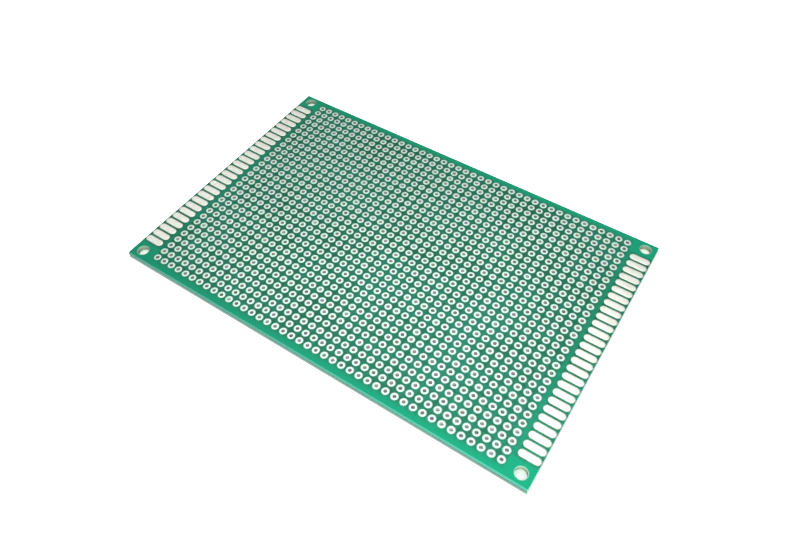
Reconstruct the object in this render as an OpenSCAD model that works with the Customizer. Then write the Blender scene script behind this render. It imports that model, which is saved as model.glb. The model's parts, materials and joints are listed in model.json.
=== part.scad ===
// Prototype board: a double-sided perforated circuit board.
// A grid of separate plated-through pads fills the middle, a row of long
// solder lands runs along each short end on both faces, and each corner
// has a plain hole for a screw. The underside of the lands is at z = 0,
// X runs along the board's length and the origin is at its centre.

/* [Board] */
// Length of the board
board_l = 120; // [60:0.5:160]
// Width of the board
board_w = 80; // [40:0.5:120]
// Overall thickness, over the lands of both faces
board_t = 1.6; // [0.8:0.1:3.2]
// Depth of the V-score left along each long edge, from each face of the laminate
score_depth = 0.5; // [0.1:0.05:0.7]
// Full angle of the V-score
score_angle = 60; // [20:5:90]

/* [Hole grid] */
// Distance between neighbouring holes, and between neighbouring edge lands
pitch = 2.54; // [2.5:0.01:5.08]
// Finished diameter of a plated lead hole
lead_hole_d = 1; // [0.6:0.05:1.3]
// Diameter of the round land about a lead hole
pad_d = 2; // [1.6:0.05:2.4]
// Least distance from a long edge to the nearest row of holes
side_margin = 3; // [2:0.1:10]

/* [Edge lands] */
// Length of an edge land
edge_land_l = 5.6; // [3:0.1:8]
// Width of an edge land
edge_land_w = 2; // [1:0.05:2.4]
// Distance from an edge land's outer end to the short end of the board
edge_land_inset = 0.15; // [0.1:0.05:2]
// Least gap between an edge land and a pad or a mounting hole
land_gap = 0.25; // [0.15:0.05:2]

/* [Mounting holes] */
// Diameter of a mounting hole
mount_hole_d = 3; // [2:0.1:4]
// Distance from a short end to a mounting hole's centre
mount_inset_x = 2.9; // [2.6:0.1:3.5]
// Distance from a long edge to a mounting hole's centre
mount_inset_y = 2.8; // [2.6:0.1:3.5]

/* [Layers] */
// Thickness of the copper foil
copper_t = 0.035; // [0.018:0.001:0.105]
// Thickness of the tin over the copper
tin_t = 0.015; // [0.005:0.001:0.03]
// Thickness of the metal that lines a lead hole
barrel_t = 0.025; // [0.02:0.005:0.05]
// Thickness of the solder mask
mask_t = 0.03; // [0.01:0.005:0.04]
// Clearance between a land and the edge of its opening in the solder mask
mask_gap = 0.05; // [0.02:0.01:0.07]
// Width of bare laminate about a mounting hole
mount_mask_gap = 0.16; // [0:0.01:0.5]

/* [Hidden] */
$fn = 72;
land_t = copper_t + tin_t;
core_t = board_t - 2 * land_t;
core_z = land_t;
drill_d = lead_hole_d + 2 * barrel_t;
score_w = score_depth * tan(score_angle / 2);

// The grid takes as many holes as the board has room for, centred on it.
end_margin = edge_land_inset + edge_land_l + land_gap + pad_d / 2;
hole_cols = floor((board_l - 2 * end_margin) / pitch) + 1;
hole_rows = floor((board_w - 2 * side_margin) / pitch) + 1;

// The edge lands fill each short end between its two mounting holes.
mount_x = board_l / 2 - mount_inset_x;
mount_y = board_w / 2 - mount_inset_y;
edge_land_x = board_l / 2 - edge_land_inset - edge_land_l / 2;
edge_land_reach = mount_y - mount_hole_d / 2 - land_gap - edge_land_w / 2;
lands_each_side = floor(edge_land_reach / pitch);

// How far a cut runs past the face that it leaves.
cut_over = 1;

row_names = [for (r = [1:hole_rows]) pad_row_name(r)];

function pad_row_name(r) = str("pad_row_", r < 10 ? "0" : "", r);
function hole_x(c) = (c - (hole_cols + 1) / 2) * pitch;
function hole_y(r) = (r - (hole_rows + 1) / 2) * pitch;

// A flat disc at each place of the lead-hole grid.
module lead_hole_discs(d) {
    for (r = [1:hole_rows], c = [1:hole_cols])
        translate([hole_x(c), hole_y(r)]) circle(d = d);
}

// A flat disc at each mounting hole.
module mount_hole_discs(d) {
    for (sx = [-1, 1], sy = [-1, 1])
        translate([sx * mount_x, sy * mount_y]) circle(d = d);
}

// The outline of one edge land, grown by a clearance all round.
module edge_land_outline(grow = 0) {
    straight = edge_land_l - edge_land_w;
    square([straight, edge_land_w + 2 * grow], center = true);
    for (s = [-1, 1])
        translate([s * straight / 2, 0]) circle(d = edge_land_w + 2 * grow);
}

// One end's row of edge land outlines; side is -1 for the left end, 1 for the right.
module edge_land_row(side, grow = 0) {
    for (i = [-lands_each_side:lands_each_side])
        translate([side * edge_land_x, i * pitch]) edge_land_outline(grow);
}

// What a V-score takes off the four long edges of the laminate.
module score_cuts() {
    over_w = cut_over * tan(score_angle / 2);
    for (sy = [-1, 1], face = [0, 1])
        mirror([0, sy < 0 ? 1 : 0, 0])
            translate([0, 0, core_z + core_t / 2])
                mirror([0, 0, face])
                    translate([-board_l / 2 - cut_over, board_w / 2, core_t / 2])
                        rotate([90, 0, 90])
                            linear_extrude(board_l + 2 * cut_over)
                                polygon([
                                    [0, -score_depth],
                                    [cut_over, -score_depth],
                                    [cut_over, cut_over],
                                    [-score_w - over_w, cut_over]
                                ]);
}

// The glass-epoxy sheet, drilled for the plated holes and the screws.
module laminate() {
    color("#c9cf9a")
        difference() {
            translate([0, 0, core_z])
                linear_extrude(core_t)
                    difference() {
                        square([board_l, board_w], center = true);
                        lead_hole_discs(drill_d);
                        mount_hole_discs(mount_hole_d);
                    }
            score_cuts();
        }
}

// One coat of solder mask, open over every pad, edge land and mounting hole.
module solder_mask(z) {
    color("#1f9e78")
        translate([0, 0, z])
            linear_extrude(mask_t)
                difference() {
                    square([board_l, board_w - 2 * score_w], center = true);
                    lead_hole_discs(pad_d + 2 * mask_gap);
                    mount_hole_discs(mount_hole_d + 2 * mount_mask_gap);
                    for (side = [-1, 1]) edge_land_row(side, mask_gap);
                }
}

// One plated-through pad: a land on each face, joined by the lining of the hole.
module plated_pad() {
    r_hole = lead_hole_d / 2;
    r_drill = drill_d / 2;
    r_pad = pad_d / 2;
    rotate_extrude()
        polygon([
            [r_hole, 0],
            [r_pad, 0],
            [r_pad, core_z],
            [r_drill, core_z],
            [r_drill, core_z + core_t],
            [r_pad, core_z + core_t],
            [r_pad, board_t],
            [r_hole, board_t]
        ]);
}

// One row of plated pads along the board's length.
module pad_row(r) {
    color("#e4e8e2")
        for (c = [1:hole_cols])
            translate([hole_x(c), hole_y(r), 0]) plated_pad();
}

// The edge lands of one end on one face.
module edge_lands(side, z) {
    color("#e4e8e2")
        translate([0, 0, z])
            linear_extrude(land_t)
                edge_land_row(side);
}

laminate();
solder_mask(core_z + core_t);  // solder_mask_top
solder_mask(core_z - mask_t);  // solder_mask_bottom
for (r = [1:hole_rows])
    pad_row(r);
edge_lands(-1, core_z + core_t);  // edge_lands_left_top
edge_lands(1, core_z + core_t);  // edge_lands_right_top
edge_lands(-1, 0);  // edge_lands_left_bottom
edge_lands(1, 0);  // edge_lands_right_bottom
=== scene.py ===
import json
import math

import bpy
import numpy as np
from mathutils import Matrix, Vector


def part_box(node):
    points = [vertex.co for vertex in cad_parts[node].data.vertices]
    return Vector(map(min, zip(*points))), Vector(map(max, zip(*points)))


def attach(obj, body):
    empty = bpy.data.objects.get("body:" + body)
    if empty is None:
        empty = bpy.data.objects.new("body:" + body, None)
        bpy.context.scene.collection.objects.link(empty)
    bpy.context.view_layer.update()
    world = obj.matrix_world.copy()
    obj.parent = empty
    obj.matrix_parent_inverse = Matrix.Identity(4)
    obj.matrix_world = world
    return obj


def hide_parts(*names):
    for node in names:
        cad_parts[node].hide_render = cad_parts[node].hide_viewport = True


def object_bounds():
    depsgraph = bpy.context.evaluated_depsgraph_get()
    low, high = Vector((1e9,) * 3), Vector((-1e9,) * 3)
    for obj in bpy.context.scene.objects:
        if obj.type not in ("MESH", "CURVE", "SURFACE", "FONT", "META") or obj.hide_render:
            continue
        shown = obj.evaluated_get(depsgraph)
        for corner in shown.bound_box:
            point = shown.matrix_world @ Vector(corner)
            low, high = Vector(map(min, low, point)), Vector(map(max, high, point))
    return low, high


# A bare prototype board: green solder mask on a glass-epoxy sheet, domed tinned pads on a 2.54 mm grid.
# Shapes are worked out in millimetres and put into the meshes in metres.

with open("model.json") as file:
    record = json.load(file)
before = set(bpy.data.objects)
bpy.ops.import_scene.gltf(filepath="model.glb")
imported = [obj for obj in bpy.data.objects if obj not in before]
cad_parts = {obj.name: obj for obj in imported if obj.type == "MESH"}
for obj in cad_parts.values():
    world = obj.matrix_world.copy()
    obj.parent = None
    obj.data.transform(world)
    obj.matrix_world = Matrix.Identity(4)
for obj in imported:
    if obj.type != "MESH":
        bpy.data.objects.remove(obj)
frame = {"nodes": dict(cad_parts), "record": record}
cadBox = [list(corner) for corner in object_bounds()]
record = frame["record"]
mm = 0.001
print("stage: frame loaded,", len(frame["nodes"]), "nodes")


def linearColour(hexColour):
    # sRGB hex to linear light: each channel goes through the sRGB curve
    channels = [int(hexColour[i:i + 2], 16) / 255 for i in (1, 3, 5)]
    curve = [c / 12.92 if c <= 0.04045 else ((c + 0.055) / 1.055) ** 2.4 for c in channels]
    return (*curve, 1.0)


def addNode(tree, kind, inputs, **settings):
    # One node with its settings; an input is either a value or another node's output socket. Map Range
    # takes the value at 0, the span it comes in at 1 and 2 and the span it leaves in at 3 and 4. A colour
    # Mix takes the share at 0 and the two colours at 6 and 7, and gives the result at 2.
    node = tree.nodes.new(kind)
    for name, value in settings.items():
        setattr(node, name, value)
    for key, value in inputs.items():
        if isinstance(value, bpy.types.NodeSocket):
            tree.links.new(value, node.inputs[key])
        else:
            node.inputs[key].default_value = value
    return node


def newMaterial(name):
    # a Principled shader alone, and the Object coordinates that its patterns are laid out on
    material = bpy.data.materials.new(name)
    material.use_nodes = True
    tree = material.node_tree
    tree.nodes.clear()
    shader = addNode(tree, "ShaderNodeBsdfPrincipled", {})
    addNode(tree, "ShaderNodeOutputMaterial", {0: shader.outputs[0]})
    place = addNode(tree, "ShaderNodeTexCoord", {}).outputs["Object"]
    return material, tree, shader, place


def boxInMm(node):
    low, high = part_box(node)
    return np.array(low) / mm, np.array(high) / mm


def makePiece(name, points, quads, smooth, materials, slots, caps=()):
    # points in millimetres; quads and caps are lists of corner numbers, the caps after the quads
    mesh = bpy.data.meshes.new(name)
    faces = quads.tolist() + [cap.tolist() for cap in caps]
    mesh.from_pydata((points * mm).tolist(), [], faces)
    for material in materials:
        mesh.materials.append(material)
    mesh.polygons.foreach_set("use_smooth", smooth)
    mesh.polygons.foreach_set("material_index", slots)
    mesh.validate()
    mesh.update()
    piece = bpy.data.objects.new(name, mesh)
    bpy.context.scene.collection.objects.link(piece)
    return piece


boardLow, boardHigh = [np.array(corner) / mm for corner in cadBox]
coreLow, coreHigh = boxInMm("laminate")
rowNames = sorted(name for name in frame["nodes"] if name.startswith("pad_row_"))
rowBoxes = [boxInMm(name) for name in rowNames]
rowYs = [(low[1] + high[1]) / 2 for low, high in rowBoxes]
padRadius = (rowBoxes[0][1][1] - rowBoxes[0][0][1]) / 2
pitch = (rowYs[-1] - rowYs[0]) / (len(rowYs) - 1)
rowLength = rowBoxes[0][1][0] - rowBoxes[0][0][0]
padsInRow = round((rowLength - 2 * padRadius) / pitch) + 1
padXs = rowBoxes[0][0][0] + padRadius + pitch * np.arange(padsInRow)
landInner = boxInMm("edge_lands_right_top")[0][0]  # where the edge lands start, along X
holeRadius = next(m for m in record["mounts"] if m["name"] == "lead_hole_grid")["dims"]["hole_r_mm"]
print("stage: grid of", padsInRow, "by", len(rowNames), "pads, pitch", round(pitch, 3), "mm")

noiseSpan = (0.3, 0.7)  # nearly all of a noise pattern's values lie in this span


def padCells(tree, place):
    # the hole grid as square cells: Distance runs from each hole's centre, Color is one value a cell
    grid = addNode(tree, "ShaderNodeMapping", {"Vector": place, "Location": (0.5, 0.5, 0.0),
                                               "Scale": (1 / (pitch * mm), 1 / (pitch * mm), 0.0)})
    return addNode(tree, "ShaderNodeTexVoronoi",
                   {"Vector": grid.outputs[0], "Scale": 1.0, "Randomness": 0.0}, voronoi_dimensions="2D")


# Glossy liquid solder mask over glass cloth: a clear green, deep between the pads and between the edge
# lands, which is painted shade, and brighter along the two long edges, in the corners and in the strips
# before the edge lands, which is painted light standing in for light coming through the bare sheet.
maskLook = {
    # the field's deep green between the pads is painted shade
    "fieldGreen": "#0d412f",
    "fieldPale": "#114f3e",
    "edgeGreen": "#045d44",         # at the front long edge
    "edgeBackLit": "#03684c",          # at the back one, lighter: painted light
    "ringGreen": "#0d3428",
    "driftSize": 22.2,              # mm across the broad drift of the ink's thickness
    "mottleSize": 1.613,            # mm across the fine mottle
    "driftSpan": (0.85, 1.15),      # sum of both patterns over which the field goes from green to pale
    "marginRamp": (36.4, 39.2),     # mm from the board's middle line over which the painted light comes in
    "stripRamp": (52.6, 53.5),      # mm along X over which the painted light comes in beyond the last pads
    "stripPaintedLight": 0.45,             # how much painted light the strip between the pads and the edge lands gets
    "stripFade": 0.3,               # mm either side of the edge lands' inner ends, where the strip stops
    "cornerRamp": (33.8, 35.0),     # mm from the middle line over which a corner's painted light comes in, round its hole
    "ringWidth": 0.3,               # mm of darker green about each pad
    "ringStrength": 0.45,
    "threadSpacing": 0.9,           # mm between glass threads, twice the real cloth's so that it shows
    "threadHeight": 0.004,          # mm
    "threadStrength": 0.35,
    "roughness": (0.2, 0.3),
    "specular": 0.09,
}


def solderMaskMaterial():
    look = maskLook
    material, tree, shader, place = newMaterial("glossySolderMask")
    drift = addNode(tree, "ShaderNodeTexNoise",
                    {"Vector": place, "Scale": 1 / (look["driftSize"] * mm), "Detail": 3.0})
    mottle = addNode(tree, "ShaderNodeTexNoise",
                     {"Vector": place, "Scale": 1 / (look["mottleSize"] * mm), "Detail": 2.0})
    shade = addNode(tree, "ShaderNodeMath", {0: drift.outputs[0], 1: mottle.outputs[0]}, operation="ADD")
    paleness = addNode(tree, "ShaderNodeMapRange", {0: shade.outputs[0], 1: look["driftSpan"][0],
                                                    2: look["driftSpan"][1], 3: 0.0, 4: 1.0})
    field = addNode(tree, "ShaderNodeMix",
                    {0: paleness.outputs[0], 6: linearColour(look["fieldGreen"]),
                     7: linearColour(look["fieldPale"])}, data_type="RGBA")
    axes = addNode(tree, "ShaderNodeSeparateXYZ", {0: place})
    across = addNode(tree, "ShaderNodeMath", {0: axes.outputs[0]}, operation="ABSOLUTE")
    along = addNode(tree, "ShaderNodeMath", {0: axes.outputs[1]}, operation="ABSOLUTE")
    # soft steps, each by how far a place lies from one of the board's middle lines
    strip = (landInner - look["stripFade"], landInner + look["stripFade"])
    steps = {}
    for name, far, (start, end), low, high in (
            ("margin", along, look["marginRamp"], 0.0, 1.0),
            ("beyondPads", across, look["stripRamp"], 0.0, 1.0),
            ("corner", along, look["cornerRamp"], 0.0, 1.0),
            ("beforeLands", across, strip, look["stripPaintedLight"], 0.0)):
        step = addNode(tree, "ShaderNodeMapRange",
                       {0: far.outputs[0], 1: start * mm, 2: end * mm, 3: low, 4: high},
                       interpolation_type="SMOOTHSTEP")
        steps[name] = step.outputs[0]
    # painted light: the corners, the strips beyond the last pads and the margins turn to the lighter edge
    # green
    bare = addNode(tree, "ShaderNodeMath", {0: steps["corner"], 1: steps["beforeLands"]},
                   operation="MAXIMUM")
    ends = addNode(tree, "ShaderNodeMath", {0: steps["beyondPads"], 1: bare.outputs[0]},
                   operation="MULTIPLY")
    clear = addNode(tree, "ShaderNodeMath", {0: steps["margin"], 1: ends.outputs[0]}, operation="MAXIMUM")
    # painted light: the edge green grows lighter from the front long edge to the back one
    paintedBackLight = addNode(tree, "ShaderNodeMapRange", {0: axes.outputs[1], 1: boardLow[1] * mm,
                                                    2: boardHigh[1] * mm, 3: 0.0, 4: 1.0})
    edge = addNode(tree, "ShaderNodeMix",
                   {0: paintedBackLight.outputs[0], 6: linearColour(look["edgeGreen"]),
                    7: linearColour(look["edgeBackLit"])}, data_type="RGBA")
    body = addNode(tree, "ShaderNodeMix", {0: clear.outputs[0], 6: field.outputs[2], 7: edge.outputs[2]},
                   data_type="RGBA")
    # the darker ring about each pad, by the distance to the nearest hole's centre, inside the grid alone
    cells = padCells(tree, place)
    near = addNode(tree, "ShaderNodeMapRange",
                   {0: cells.outputs["Distance"], 1: padRadius / pitch,
                    2: (padRadius + look["ringWidth"]) / pitch, 3: look["ringStrength"], 4: 0.0},
                   interpolation_type="SMOOTHSTEP")
    withinX = addNode(tree, "ShaderNodeMath", {0: across.outputs[0], 1: (padXs[-1] + pitch / 2) * mm},
                      operation="LESS_THAN")
    withinY = addNode(tree, "ShaderNodeMath", {0: along.outputs[0], 1: (rowYs[-1] + pitch / 2) * mm},
                      operation="LESS_THAN")
    within = addNode(tree, "ShaderNodeMath", {0: withinX.outputs[0], 1: withinY.outputs[0]},
                     operation="MULTIPLY")
    ring = addNode(tree, "ShaderNodeMath", {0: near.outputs[0], 1: within.outputs[0]},
                   operation="MULTIPLY")
    colour = addNode(tree, "ShaderNodeMix", {0: ring.outputs[0], 6: body.outputs[2],
                                             7: linearColour(look["ringGreen"])}, data_type="RGBA")
    tree.links.new(colour.outputs[2], shader.inputs["Base Color"])
    # plain weave under the ink: the product of two crossed sine waves, a half turn for each thread
    halfTurn = math.pi / (look["threadSpacing"] * mm)
    warp = addNode(tree, "ShaderNodeMath", {0: axes.outputs[0], 1: halfTurn}, operation="MULTIPLY")
    weft = addNode(tree, "ShaderNodeMath", {0: axes.outputs[1], 1: halfTurn}, operation="MULTIPLY")
    warpWave = addNode(tree, "ShaderNodeMath", {0: warp.outputs[0]}, operation="SINE")
    weftWave = addNode(tree, "ShaderNodeMath", {0: weft.outputs[0]}, operation="SINE")
    weave = addNode(tree, "ShaderNodeMath", {0: warpWave.outputs[0], 1: weftWave.outputs[0]},
                    operation="MULTIPLY")
    height = addNode(tree, "ShaderNodeMath", {0: weave.outputs[0], 1: mottle.outputs[0]},
                     operation="ADD")
    bump = addNode(tree, "ShaderNodeBump",
                   {"Height": height.outputs[0], "Strength": look["threadStrength"],
                    "Distance": look["threadHeight"] * mm})
    tree.links.new(bump.outputs[0], shader.inputs["Normal"])
    roughness = addNode(tree, "ShaderNodeMapRange",
                        {0: mottle.outputs[0], 1: noiseSpan[0], 2: noiseSpan[1],
                         3: look["roughness"][0], 4: look["roughness"][1]})
    tree.links.new(roughness.outputs[0], shader.inputs["Roughness"])
    shader.inputs["IOR"].default_value = 1.5
    shader.inputs["Specular IOR Level"].default_value = look["specular"]
    return material


# Hot-air-levelled tin: a bright skin that freezes in soft lumps, with fine grain in its gloss. The pads'
# tin is tinted green, a painted reflection of the mask, and greener at the rim: the mask's edge creeping
# on and painted shade.
tinLook = {
    "bright": "#eaede6",
    "dull": "#cecfc1",
    # the pads' green tint is a painted reflection of the mask about them
    "padBright": "#d2e9df",
    "padDull": "#b9d5c8",
    # at the pad's rim: the mask's edge creeping onto it, and painted shade
    "padRimCreepAndShade": "#95beac",
    "rimStart": 0.8,            # of the pad's radius
    "lumpSize": 1.6,            # mm across a soft lump
    "lumpHeight": 0.05,         # mm
    "lumpStrength": 0.5,
    "grainSize": 0.12,          # mm
    "grainHeight": 0.01,        # mm
    "grainStrength": 0.15,
    "roughness": (0.24, 0.38),
}


def tinMaterial(name, onPads):
    look = tinLook
    dull, bright = (look["padDull"], look["padBright"]) if onPads else (look["dull"], look["bright"])
    material, tree, shader, place = newMaterial(name)
    lumps = addNode(tree, "ShaderNodeTexNoise", {"Vector": place, "Scale": 1 / (look["lumpSize"] * mm),
                                                 "Detail": 2.0, "Roughness": 0.4})
    grain = addNode(tree, "ShaderNodeTexNoise", {"Vector": place, "Scale": 1 / (look["grainSize"] * mm),
                                                 "Detail": 2.0})
    colour = addNode(tree, "ShaderNodeMix", {0: lumps.outputs[0], 6: linearColour(dull),
                                             7: linearColour(bright)}, data_type="RGBA")
    # on the pads the rim turns greener and darker: the creeping mask edge and painted shade
    if onPads:
        cells = padCells(tree, place)
        rim = addNode(tree, "ShaderNodeMapRange",
                      {0: cells.outputs["Distance"], 1: padRadius * look["rimStart"] / pitch,
                       2: padRadius / pitch, 3: 0.0, 4: 1.0}, interpolation_type="SMOOTHSTEP")
        colour = addNode(tree, "ShaderNodeMix", {0: rim.outputs[0], 6: colour.outputs[2],
                                                 7: linearColour(look["padRimCreepAndShade"])}, data_type="RGBA")
    tree.links.new(colour.outputs[2], shader.inputs["Base Color"])
    roughness = addNode(tree, "ShaderNodeMapRange",
                        {0: grain.outputs[0], 1: noiseSpan[0], 2: noiseSpan[1],
                         3: look["roughness"][0], 4: look["roughness"][1]})
    tree.links.new(roughness.outputs[0], shader.inputs["Roughness"])
    softLumps = addNode(tree, "ShaderNodeBump",
                        {"Height": lumps.outputs[0], "Strength": look["lumpStrength"],
                         "Distance": look["lumpHeight"] * mm})
    bump = addNode(tree, "ShaderNodeBump",
                   {"Height": grain.outputs[0], "Strength": look["grainStrength"],
                    "Distance": look["grainHeight"] * mm, "Normal": softLumps.outputs[0]})
    tree.links.new(bump.outputs[0], shader.inputs["Normal"])
    shader.inputs["Metallic"].default_value = 1.0
    return material


# The same tin inside a hole: thin, uneven and stained by flux, so it looks brown, grey or plum, with one
# tint and one shade a hole.
liningLook = {
    "stain": "#b1a793",
    "grey": "#bfccc8",
    "plum": "#bda9bc",
    "shade": (0.75, 1.3),       # the darkest and the palest hole
    "streakSize": 0.25,         # mm
    "streakSpan": (0.4, 0.7),   # of the noise, over which a streak sets in
    "streakShare": 0.6,         # the most stain in a streak
    "streakHeight": 0.02,       # mm
    "streakStrength": 0.4,
    "metallic": 0.85,
    "roughness": 0.4,
}


def liningMaterial():
    look = liningLook
    material, tree, shader, place = newMaterial("fluxStainedLining")
    # a cell's own number has three parts: two choose the hole's tint and the third its shade
    parts = addNode(tree, "ShaderNodeSeparateColor", {0: padCells(tree, place).outputs["Color"]})
    first = addNode(tree, "ShaderNodeMix", {0: parts.outputs[0], 6: linearColour(look["stain"]),
                                            7: linearColour(look["grey"])}, data_type="RGBA")
    second = addNode(tree, "ShaderNodeMix", {0: parts.outputs[1], 6: first.outputs[2],
                                             7: linearColour(look["plum"])}, data_type="RGBA")
    streaks = addNode(tree, "ShaderNodeTexNoise",
                      {"Vector": place, "Scale": 1 / (look["streakSize"] * mm), "Detail": 2.0})
    streaked = addNode(tree, "ShaderNodeMapRange", {0: streaks.outputs[0], 1: look["streakSpan"][0],
                                                    2: look["streakSpan"][1], 3: 0.0,
                                                    4: look["streakShare"]})
    tinted = addNode(tree, "ShaderNodeMix", {0: streaked.outputs[0], 6: second.outputs[2],
                                             7: linearColour(look["stain"])}, data_type="RGBA")
    shade = addNode(tree, "ShaderNodeMapRange", {0: parts.outputs[2], 3: look["shade"][0],
                                                 4: look["shade"][1]})
    shaded = addNode(tree, "ShaderNodeVectorMath", {0: tinted.outputs[2], 3: shade.outputs[0]},
                     operation="SCALE")
    tree.links.new(shaded.outputs[0], shader.inputs["Base Color"])
    bump = addNode(tree, "ShaderNodeBump",
                   {"Height": streaks.outputs[0], "Strength": look["streakStrength"],
                    "Distance": look["streakHeight"] * mm})
    tree.links.new(bump.outputs[0], shader.inputs["Normal"])
    shader.inputs["Metallic"].default_value = look["metallic"]
    shader.inputs["Roughness"].default_value = look["roughness"]
    return material


# Glass-epoxy laminate, bare where it was cut or drilled: sea green where the V-score's blade left it
# smooth, darker and fibrous where the web was snapped, frosted pale at the sawn ends, and darker and
# browner low in the drilled screw holes, which is painted shade.
laminateLook = {
    "scored": "#216655",
    "snapped": "#144137",
    "sawn": "#b4cdbf",
    "drilled": "#5c8370",
    # painted shade, low in the screw holes
    "paintedBoreShade": "#5c6852",
    "plyTint": 0.25,            # how much darker a ply is at its darkest
    "plyThickness": 0.19,       # mm for each layer of cloth
    "plyHeight": 0.02,          # mm that plies and fibres stand proud
    "plyStrength": 0.3,
    "fibreSize": 0.35,          # mm
    "fibreSway": 0.12,          # mm of height by which the fibres unsteady the plies
    "webRamp": (0.216, 0.297),  # mm from the sheet's middle over which the snapped web gives way
    "boreShadeRamp": (0.15, 0.5),   # mm above the sheet's middle over which a hole's painted shade clears
    "edgeDepth": 0.45,          # mm in from the outline that counts as a long edge
    "endDepth": 0.02,           # mm in from the outline that counts as a short end
    "roughness": 0.5,
}


def laminateMaterial():
    look = laminateLook
    material, tree, shader, place = newMaterial("glassEpoxyLaminate")
    axes = addNode(tree, "ShaderNodeSeparateXYZ", {0: place})
    fibre = addNode(tree, "ShaderNodeTexNoise", {"Vector": place, "Scale": 1 / (look["fibreSize"] * mm),
                                                 "Detail": 3.0, "Roughness": 0.6})
    # height above the middle of the sheet, unsteadied by the fibres, whose noise averages a half
    sway = addNode(tree, "ShaderNodeMath", {0: fibre.outputs[0], 1: look["fibreSway"] * mm},
                   operation="MULTIPLY")
    level = addNode(tree, "ShaderNodeMath", {0: axes.outputs[2], 1: sway.outputs[0]}, operation="ADD")
    middle = (coreLow[2] + coreHigh[2] + look["fibreSway"]) / 2
    fromMiddle = addNode(tree, "ShaderNodeMath", {0: level.outputs[0], 1: middle * mm},
                         operation="SUBTRACT")
    away = addNode(tree, "ShaderNodeMath", {0: fromMiddle.outputs[0]}, operation="ABSOLUTE")
    web = addNode(tree, "ShaderNodeMapRange", {0: away.outputs[0], 1: look["webRamp"][0] * mm,
                                               2: look["webRamp"][1] * mm, 3: 1.0, 4: 0.0},
                  interpolation_type="SMOOTHSTEP")
    longEdge = addNode(tree, "ShaderNodeMix", {0: web.outputs[0], 6: linearColour(look["scored"]),
                                               7: linearColour(look["snapped"])}, data_type="RGBA")
    # painted shade, low in each bore
    brown = addNode(tree, "ShaderNodeMapRange", {0: fromMiddle.outputs[0], 1: look["boreShadeRamp"][0] * mm,
                                                 2: look["boreShadeRamp"][1] * mm, 3: 1.0, 4: 0.0},
                    interpolation_type="SMOOTHSTEP")
    bore = addNode(tree, "ShaderNodeMix", {0: brown.outputs[0], 6: linearColour(look["drilled"]),
                                           7: linearColour(look["paintedBoreShade"])}, data_type="RGBA")
    # which wall this is: a long edge, a short end, or else a bore
    across = addNode(tree, "ShaderNodeMath", {0: axes.outputs[0]}, operation="ABSOLUTE")
    along = addNode(tree, "ShaderNodeMath", {0: axes.outputs[1]}, operation="ABSOLUTE")
    atLong = addNode(tree, "ShaderNodeMath",
                     {0: along.outputs[0], 1: (boardHigh[1] - look["edgeDepth"]) * mm},
                     operation="GREATER_THAN")
    atShort = addNode(tree, "ShaderNodeMath",
                      {0: across.outputs[0], 1: (boardHigh[0] - look["endDepth"]) * mm},
                      operation="GREATER_THAN")
    sides = addNode(tree, "ShaderNodeMix", {0: atLong.outputs[0], 6: bore.outputs[2],
                                            7: longEdge.outputs[2]}, data_type="RGBA")
    walls = addNode(tree, "ShaderNodeMix", {0: atShort.outputs[0], 6: sides.outputs[2],
                                            7: linearColour(look["sawn"])}, data_type="RGBA")
    # plies: a sine wave of height, one turn for each layer of cloth
    turns = addNode(tree, "ShaderNodeMath",
                    {0: level.outputs[0], 1: 2 * math.pi / (look["plyThickness"] * mm)},
                    operation="MULTIPLY")
    plies = addNode(tree, "ShaderNodeMath", {0: turns.outputs[0]}, operation="SINE")
    plyShade = addNode(tree, "ShaderNodeMapRange", {0: plies.outputs[0], 1: -1.0, 2: 1.0,
                                                    3: 1 - look["plyTint"], 4: 1.0})
    colour = addNode(tree, "ShaderNodeVectorMath", {0: walls.outputs[2], 3: plyShade.outputs[0]},
                     operation="SCALE")
    tree.links.new(colour.outputs[0], shader.inputs["Base Color"])
    height = addNode(tree, "ShaderNodeMath", {0: plies.outputs[0], 1: fibre.outputs[0]},
                     operation="ADD")
    bump = addNode(tree, "ShaderNodeBump",
                   {"Height": height.outputs[0], "Strength": look["plyStrength"],
                    "Distance": look["plyHeight"] * mm})
    tree.links.new(bump.outputs[0], shader.inputs["Normal"])
    shader.inputs["Roughness"].default_value = look["roughness"]
    return material


maskMaterial = solderMaskMaterial()
landTin = tinMaterial("hotAirLevelledTin", False)
padTin = tinMaterial("hotAirLevelledPadTin", True)
lining = liningMaterial()
sheetMaterial = laminateMaterial()
for name, material in (("laminate", sheetMaterial), ("solder_mask_top", maskMaterial),
                       ("solder_mask_bottom", maskMaterial)):
    mesh = frame["nodes"][name].data
    mesh.materials.clear()
    mesh.materials.append(material)
print("stage: materials made")


padShape = {
    "segments": 12,
    "shoulder": 0.08,           # mm from the land's rim to the top of its shoulder
    "shoulderDrop": 0.008,      # mm below the crest
    "lipDrop": 0.003,           # mm below the crest, at the hole
    "liningThickness": 0.025,   # mm
    "unevenness": 0.006,        # mm that a crest may lean
    "leanShare": (0.2, 1.0),    # of the unevenness, from pad to pad
    "seed": 7,
}


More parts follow.
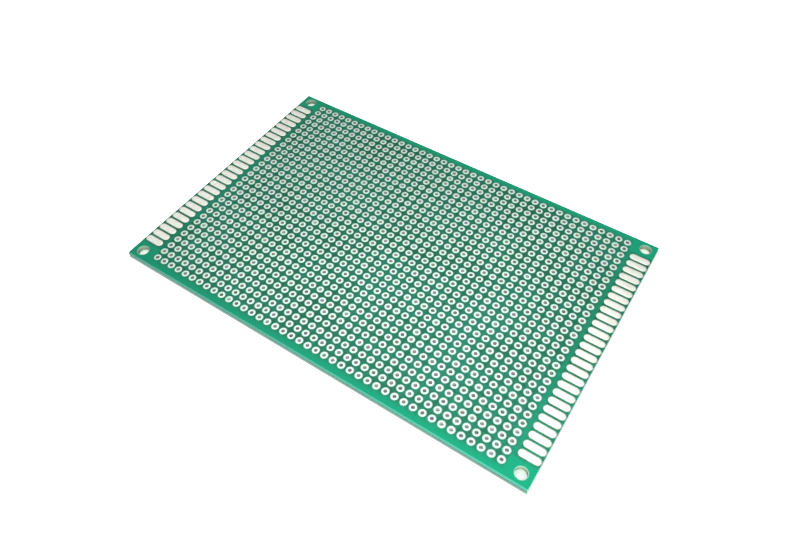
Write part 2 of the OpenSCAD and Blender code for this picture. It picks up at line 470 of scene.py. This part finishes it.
def padRow(name, node, y, random):
    # a closed profile of (radius, height) turned about each hole's axis: over the upper land, down the
    # lining, under the lower land and back through the laminate. Radius and height depend on the place
    # along the profile alone, but for the two crests, which lean
    shape = padShape
    top, bottom = boardHigh[2], boardLow[2]
    drilled = holeRadius + shape["liningThickness"]
    upper = [
        (padRadius, coreHigh[2]),
        (padRadius - shape["shoulder"], top - shape["shoulderDrop"] - shape["unevenness"]),
        (holeRadius, top - shape["lipDrop"] - shape["unevenness"]),
    ]
    lower = [(r, bottom + top - z) for r, z in reversed(upper)]
    hidden = [(drilled, coreLow[2]), (drilled, coreHigh[2])]
    profile = np.array(upper + lower + hidden)
    count, rings = shape["segments"], len(profile)
    liningBand = len(upper) - 1                 # it starts at the upper land's last ring
    firstHiddenBand = len(upper + lower) - 1
    crests = ((0, (1, 2), 1), (1, (3, 4), -1))  # each land's number, its crest's two rings, its way up
    crestRings = [ring for land, pair, way in crests for ring in pair]

    angles = 2 * math.pi * np.arange(count) / count
    points = np.zeros((padsInRow, count, rings, 3))
    points[..., 0] = padXs[:, None, None] + profile[:, 0] * np.cos(angles)[None, :, None]
    points[..., 1] = y + profile[:, 0] * np.sin(angles)[None, :, None]
    points[..., 2] = profile[:, 1]
    # each crest leans its own way: its height is one cosine wave around the ring
    lean = shape["unevenness"] * random.uniform(*shape["leanShare"], (padsInRow, 2))
    heading = random.uniform(0, 2 * math.pi, (padsInRow, 2))
    for land, pair, way in crests:
        wave = lean[:, land, None] * np.cos(angles[None, :] - heading[:, land, None])
        for ring in pair:
            points[..., ring, 2] += way * wave

    # corner numbers: around the axis by spoke and along the profile by ring, both closed
    spoke, ring = np.meshgrid(np.arange(count), np.arange(rings), indexing="ij")
    nextSpoke, nextRing = (spoke + 1) % count, (ring + 1) % rings
    quads = np.stack([spoke * rings + ring, spoke * rings + nextRing,
                      nextSpoke * rings + nextRing, nextSpoke * rings + ring], axis=-1)
    quads = quads[None] + (np.arange(padsInRow) * count * rings)[:, None, None, None]
    band = np.broadcast_to(ring[None], quads.shape[:3]).reshape(-1)
    piece = makePiece(name, points.reshape(-1, 3), quads.reshape(-1, 4), band < firstHiddenBand,
                      [padTin, lining], (band == liningBand).astype(int))
    # the crests' rims stay sharp, so that a crest is lit as flat and the lining as a straight wall
    ends = np.zeros(2 * len(piece.data.edges), int)
    piece.data.edges.foreach_get("vertices", ends)
    endRings = ends.reshape(-1, 2) % rings
    sharp = (endRings[:, 0] == endRings[:, 1]) & np.isin(endRings[:, 0], crestRings)
    piece.data.attributes.new("sharp_edge", "BOOLEAN", "EDGE").data.foreach_set("value", sharp)
    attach(piece, "root")
    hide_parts(node)


random = np.random.default_rng(padShape["seed"])
for node, y in zip(rowNames, rowYs):
    padRow("plated_" + node, node, y, random)
print("stage: plated pads made")


landShape = {
    "arcPoints": 9,  # on each round end
    # each ring's distance in from the rim, in mm, and its share of the land's rise
    "rings": [(0.0, 0.0), (0.07, 0.78), (0.25, 0.93), (0.62, 0.98)],
}


def edgeLands(node):
    # an outline with two straight sides and two half circles, drawn in towards its centre line ring by
    # ring while its height rises, and closed with a flat cap; on the lower face it is turned over
    shape = landShape
    low, high = boxInMm(node)
    steps = int((high[1] - low[1]) // pitch)  # a land is narrower than the pitch
    width = high[1] - low[1] - steps * pitch
    count = steps + 1
    centreX = (low[0] + high[0]) / 2
    ys = low[1] + width / 2 + pitch * np.arange(count)
    half = (high[0] - low[0] - width) / 2
    upper = low[2] > (boardLow[2] + boardHigh[2]) / 2
    base, rise = (low[2], high[2] - low[2]) if upper else (high[2], low[2] - high[2])

    swing = np.linspace(-math.pi / 2, math.pi / 2, shape["arcPoints"])
    angles = np.concatenate([swing, swing + math.pi])
    middle = np.repeat([half, -half], shape["arcPoints"])
    inset, share = np.array(shape["rings"]).T
    radii = width / 2 - inset
    around, rings = len(angles), len(radii)
    points = np.zeros((count, around, rings, 3))
    points[..., 0] = centreX + middle[:, None] + np.cos(angles)[:, None] * radii
    points[..., 1] = ys[:, None, None] + np.sin(angles)[:, None] * radii
    points[..., 2] = base + rise * share

    # corner numbers: around the outline by spoke, closed, and inwards by ring, open
    spoke, ring = np.meshgrid(np.arange(around), np.arange(rings - 1), indexing="ij")
    nextSpoke = (spoke + 1) % around
    quads = np.stack([spoke * rings + ring, nextSpoke * rings + ring,
                      nextSpoke * rings + ring + 1, spoke * rings + ring + 1], axis=-1)
    cap = np.arange(around) * rings + rings - 1
    foot = np.arange(around)[::-1] * rings
    if not upper:
        quads, cap, foot = quads[..., ::-1], cap[::-1], foot[::-1]
    starts = np.arange(count) * around * rings
    quads = (quads[None] + starts[:, None, None, None]).reshape(-1, 4)
    caps = np.concatenate([cap[None] + starts[:, None], foot[None] + starts[:, None]])
    smooth = np.concatenate([np.ones(len(quads), bool), np.repeat([True, False], count)])
    piece = makePiece("tinned_" + node, points.reshape(-1, 3), quads, smooth, [landTin],
                      np.zeros(len(smooth), int), caps)
    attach(piece, "root")
    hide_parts(node)


for node in sorted(name for name in frame["nodes"] if name.startswith("edge_lands_")):
    edgeLands(node)
print("stage: edge lands made")


studio = {
    "floor": "#fafafa",
    "cloudSize": 16.7,              # mm across the floor's faint clouds
    "floorGlow": 1.0,               # the floor is lit to full white, with no shadow on it
    "underLight": "#84988d",        # of that glow, what little gets under the board
    "contactShade": "#d0e8de",      # of the floor right at the board's outline
    "contactWidth": 0.4,            # mm
    "floorGap": 0.01,               # mm from the floor up to the board
    "floorSize": 4.0,               # m
    "floorRoughness": 0.9,
    "floorSpecular": 0.1,
    "skyStrength": (0.42, 1.12),    # at the horizon and overhead
    # name: (place in m, size in m, power in W)
    "lamps": {
        "softbox": ((-0.2, 0.3, 0.9), 0.7, 1.5),
        "sideLamp": ((0.1, -0.15, 0.12), 0.08, 1.5),
    },
    "boardOnly": "sideLamp",        # it lights the board alone: no reflection of it, nothing on the floor
}
white = (1.0, 1.0, 1.0, 1.0)


def makeFloor():
    # white paper that glows where the board leaves it open, less under the board and close round it
    half = studio["floorSize"] / 2
    z = (boardLow[2] - studio["floorGap"]) * mm
    mesh = bpy.data.meshes.new("studio_floor")
    mesh.from_pydata([(-half, -half, z), (half, -half, z), (half, half, z), (-half, half, z)], [],
                     [(0, 1, 2, 3)])
    material, tree, shader, place = newMaterial("pale_floor")
    clouds = addNode(tree, "ShaderNodeTexNoise",
                     {"Vector": place, "Scale": 1 / (studio["cloudSize"] * mm), "Detail": 2.0})
    paper = addNode(tree, "ShaderNodeMix", {0: clouds.outputs[0], 6: linearColour(studio["floor"]),
                                            7: white}, data_type="RGBA")
    # how far a place lies outside the board's outline: the greater of what it is along X and along Y
    axes = addNode(tree, "ShaderNodeSeparateXYZ", {0: place})
    outs = []
    for axis in (0, 1):
        far = addNode(tree, "ShaderNodeMath", {0: axes.outputs[axis]}, operation="ABSOLUTE")
        outs.append(addNode(tree, "ShaderNodeMath", {0: far.outputs[0], 1: boardHigh[axis] * mm},
                            operation="SUBTRACT"))
    out = addNode(tree, "ShaderNodeMath", {0: outs[0].outputs[0], 1: outs[1].outputs[0]},
                  operation="MAXIMUM")
    apart = addNode(tree, "ShaderNodeMath", {0: out.outputs[0]}, operation="ABSOLUTE")
    clearOf, outside = [
        addNode(tree, "ShaderNodeMapRange",
                {0: distance.outputs[0], 1: 0.0, 2: studio["contactWidth"] * mm, 3: 0.0, 4: 1.0},
                interpolation_type="SMOOTHSTEP") for distance in (apart, out)]
    colour = addNode(tree, "ShaderNodeMix",
                     {0: clearOf.outputs[0], 6: linearColour(studio["contactShade"]),
                      7: paper.outputs[2]}, data_type="RGBA")
    glow = addNode(tree, "ShaderNodeMix", {0: outside.outputs[0], 6: linearColour(studio["underLight"]),
                                           7: white}, data_type="RGBA")
    strength = addNode(tree, "ShaderNodeMath", {0: clearOf.outputs[0], 1: studio["floorGlow"]},
                       operation="MULTIPLY")
    tree.links.new(colour.outputs[2], shader.inputs["Base Color"])
    tree.links.new(glow.outputs[2], shader.inputs["Emission Color"])
    tree.links.new(strength.outputs[0], shader.inputs["Emission Strength"])
    shader.inputs["Roughness"].default_value = studio["floorRoughness"]
    shader.inputs["Specular IOR Level"].default_value = studio["floorSpecular"]
    material.cycles.emission_sampling = "NONE"
    mesh.materials.append(material)
    floor = bpy.data.objects.new("studio_floor", mesh)
    bpy.context.scene.collection.objects.link(floor)
    return floor


def makeSky():
    # brighter from the horizon upwards, with a plain white backdrop behind the object
    world = bpy.data.worlds.new("studio_world")
    world.use_nodes = True
    tree = world.node_tree
    heading = addNode(tree, "ShaderNodeTexCoord", {}).outputs["Generated"]
    seen = addNode(tree, "ShaderNodeLightPath", {}).outputs["Is Camera Ray"]
    axes = addNode(tree, "ShaderNodeSeparateXYZ", {0: heading})
    sky = addNode(tree, "ShaderNodeMapRange", {0: axes.outputs[2], 3: studio["skyStrength"][0],
                                               4: studio["skyStrength"][1]})
    strength = addNode(tree, "ShaderNodeMix", {0: seen, 2: sky.outputs[0], 3: 1.0})
    background = tree.nodes["Background"]
    background.inputs["Color"].default_value = white
    tree.links.new(strength.outputs[0], background.inputs["Strength"])
    bpy.context.scene.world = world


def makeLamps(floor):
    for name, (spot, size, power) in studio["lamps"].items():
        lamp = bpy.data.lights.new(name, "AREA")
        lamp.energy = power
        lamp.size = size
        light = bpy.data.objects.new(name, lamp)
        light.location = spot
        light.rotation_euler = (-Vector(spot)).to_track_quat("-Z", "Y").to_euler()
        light.visible_camera = False
        if name == studio["boardOnly"]:
            light.visible_glossy = False
            unlit = bpy.data.collections.new("out_of_" + name)
            unlit.objects.link(floor)
            unlit.collection_objects[0].light_linking.link_state = "EXCLUDE"
            light.light_linking.receiver_collection = unlit
        bpy.context.scene.collection.objects.link(light)


view = {
    "azimuth": 33.0,        # degrees from the front long edge towards the right end
    "elevation": 51.93,     # degrees above the floor
    "distance": 183.1,      # mm from the point looked at
    "aim": (4.45, -4.16),   # mm from the board's centre
    "lens": 30.98,          # mm
    "sensor": 36.0,         # mm
    "nearest": 10.0,        # mm, closer than which nothing is drawn
}


def makeCamera():
    azimuth, elevation = math.radians(view["azimuth"]), math.radians(view["elevation"])
    away = Vector((math.sin(azimuth) * math.cos(elevation), -math.cos(azimuth) * math.cos(elevation),
                   math.sin(elevation)))
    aim = Vector((*view["aim"], boardHigh[2])) * mm
    lens = bpy.data.cameras.new("camera")
    lens.lens = view["lens"]
    lens.sensor_width = view["sensor"]
    lens.clip_start = view["nearest"] * mm
    camera = bpy.data.objects.new("camera", lens)
    camera.location = aim + away * view["distance"] * mm
    camera.rotation_euler = (-away).to_track_quat("-Z", "Y").to_euler()
    bpy.context.scene.collection.objects.link(camera)
    bpy.context.scene.camera = camera


bpy.context.scene.view_settings.view_transform = "Standard"
makeSky()
makeLamps(makeFloor())
makeCamera()
print("stage: studio and camera set")

bpy.context.view_layer.update()
